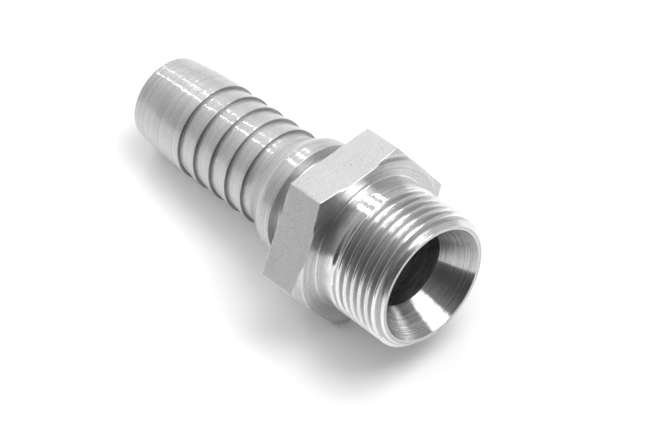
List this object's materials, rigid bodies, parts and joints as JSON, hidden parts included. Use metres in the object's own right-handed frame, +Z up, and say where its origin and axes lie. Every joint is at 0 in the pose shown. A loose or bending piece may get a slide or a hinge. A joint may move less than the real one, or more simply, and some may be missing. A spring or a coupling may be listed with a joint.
{
  "type": "hydraulic_hose_tail",
  "caption": "Steel hydraulic hose tail with a ribbed barb end, locking collar, 32 mm hexagon and G 3/4 male thread with a 60 degree cone seat",
  "frame": {"origin": "centre of the open, threaded end face, on the fitting's axis", "axes": "+X out of the threaded end along the floor, with the fitting's own axis leaning up from it by 8.7 degrees as it lies; +Z up; +Y to the left looking from the tail to the thread"},
  "size_m": [0.075, 0.037, 0.0329],
  "materials": {
    "zinc_plate": "bright zinc plating over a fine turned surface, matte and speckled on the hexagon's flats"
  },
  "bodies": {
    "root": {"hose_tail": "zinc_plate"}
  },
  "joints": []
}
